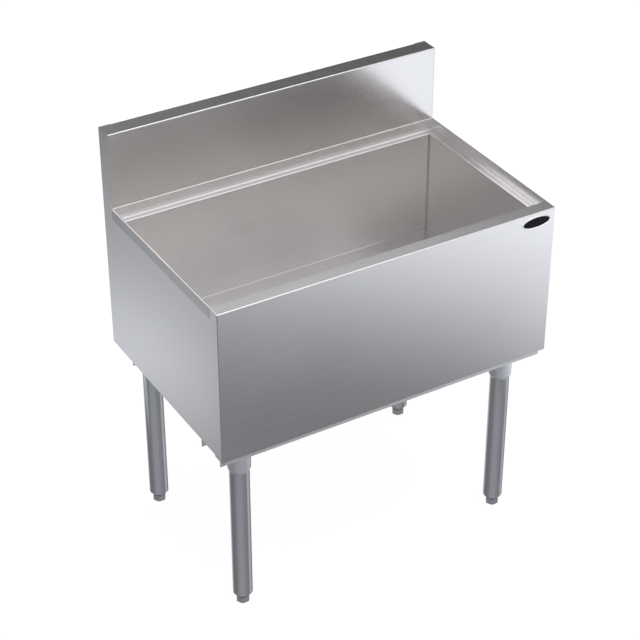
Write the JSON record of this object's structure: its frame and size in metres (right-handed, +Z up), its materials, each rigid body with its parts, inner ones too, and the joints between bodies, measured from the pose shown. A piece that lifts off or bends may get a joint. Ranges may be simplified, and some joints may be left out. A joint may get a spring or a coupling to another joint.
{
  "type": "underbar ice bin",
  "caption": "Freestanding steel underbar ice bin: insulated tank with a raised rim, low backsplash, drain, and tubular legs on screw-adjustable feet.",
  "frame": {"origin": "on the floor, at the middle of the bin's width and depth", "axes": "+Z up, +Y towards the wall behind the backsplash, +X to the right along the front"},
  "size_m": [0.762, 0.4826, 0.9271],
  "materials": {
    "apron_steel": "satin",
    "panel_steel": "satin",
    "back_steel": "satin",
    "splash_steel": "satin",
    "liner_steel": "satin",
    "channel_steel": "satin",
    "fastener_steel": "satin",
    "drain_steel": "satin",
    "drain_brass": "satin",
    "gasket_rubber": "matte",
    "foam": "matte",
    "leg_steel": "satin",
    "socket_steel": "satin",
    "insert_steel": "satin",
    "stem_steel": "satin",
    "foot_steel": "satin"
  },
  "bodies": {
    "bin": {"back_panel": "back_steel", "backsplash": "splash_steel", "bottom_panel": "back_steel", "channel_nuts": "fastener_steel", "channel_studs": "fastener_steel", "drain_body": "drain_steel", "drain_gasket": "gasket_rubber", "drain_locknut": "drain_brass", "drain_strainer": "drain_steel", "drain_tailpiece": "drain_brass", "front_apron": "apron_steel", "front_left_foot_insert": "insert_steel", "front_left_leg_socket": "socket_steel", "front_left_leg_tube": "leg_steel", "front_leg_channel": "channel_steel", "front_right_foot_insert": "insert_steel", "front_right_leg_socket": "socket_steel", "front_right_leg_tube": "leg_steel", "insulation_back": "foam", "insulation_bottom": "foam", "insulation_front": "foam", "insulation_left": "foam", "insulation_right": "foam", "left_side_panel": "panel_steel", "liner": "liner_steel", "rear_left_foot_insert": "insert_steel", "rear_left_leg_socket": "socket_steel", "rear_left_leg_tube": "leg_steel", "rear_leg_channel": "channel_steel", "rear_right_foot_insert": "insert_steel", "rear_right_leg_socket": "socket_steel", "rear_right_leg_tube": "leg_steel", "right_side_panel": "panel_steel", "socket_set_screws": "fastener_steel", "strainer_screw": "fastener_steel"},
    "front_left_stem": {"front_left_foot_stem": "stem_steel"},
    "front_left_foot": {"front_left_hex_foot": "foot_steel"},
    "front_right_stem": {"front_right_foot_stem": "stem_steel"},
    "front_right_foot": {"front_right_hex_foot": "foot_steel"},
    "rear_left_stem": {"rear_left_foot_stem": "stem_steel"},
    "rear_left_foot": {"rear_left_hex_foot": "foot_steel"},
    "rear_right_stem": {"rear_right_foot_stem": "stem_steel"},
    "rear_right_foot": {"rear_right_hex_foot": "foot_steel"}
  },
  "joints": [
    {"name": "front_left_foot_travel", "type": "slide", "parent": "bin", "child": "front_left_stem", "axis": [0, 0, -1], "range_m": [0, 0.0254]},
    {"name": "front_left_foot_turn", "type": "hinge", "parent": "front_left_stem", "child": "front_left_foot", "pos_m": [-0.3135, -0.1827, 0.0075], "axis": [0, 0, -1], "range_deg": [0, 4680]},
    {"name": "front_right_foot_travel", "type": "slide", "parent": "bin", "child": "front_right_stem", "axis": [0, 0, -1], "range_m": [0, 0.0254]},
    {"name": "front_right_foot_turn", "type": "hinge", "parent": "front_right_stem", "child": "front_right_foot", "pos_m": [0.3135, -0.1827, 0.0075], "axis": [0, 0, -1], "range_deg": [0, 4680]},
    {"name": "rear_left_foot_travel", "type": "slide", "parent": "bin", "child": "rear_left_stem", "axis": [0, 0, -1], "range_m": [0, 0.0254]},
    {"name": "rear_left_foot_turn", "type": "hinge", "parent": "rear_left_stem", "child": "rear_left_foot", "pos_m": [-0.3135, 0.2024, 0.0075], "axis": [0, 0, -1], "range_deg": [0, 4680]},
    {"name": "rear_right_foot_travel", "type": "slide", "parent": "bin", "child": "rear_right_stem", "axis": [0, 0, -1], "range_m": [0, 0.0254]},
    {"name": "rear_right_foot_turn", "type": "hinge", "parent": "rear_right_stem", "child": "rear_right_foot", "pos_m": [0.3135, 0.2024, 0.0075], "axis": [0, 0, -1], "range_deg": [0, 4680]}
  ],
  "couplings": [
    {"joint": "front_left_foot_travel", "follows": "front_left_foot_turn", "m_per_rad": 0.00031096},
    {"joint": "front_right_foot_travel", "follows": "front_right_foot_turn", "m_per_rad": 0.00031096},
    {"joint": "rear_left_foot_travel", "follows": "rear_left_foot_turn", "m_per_rad": 0.00031096},
    {"joint": "rear_right_foot_travel", "follows": "rear_right_foot_turn", "m_per_rad": 0.00031096}
  ]
}
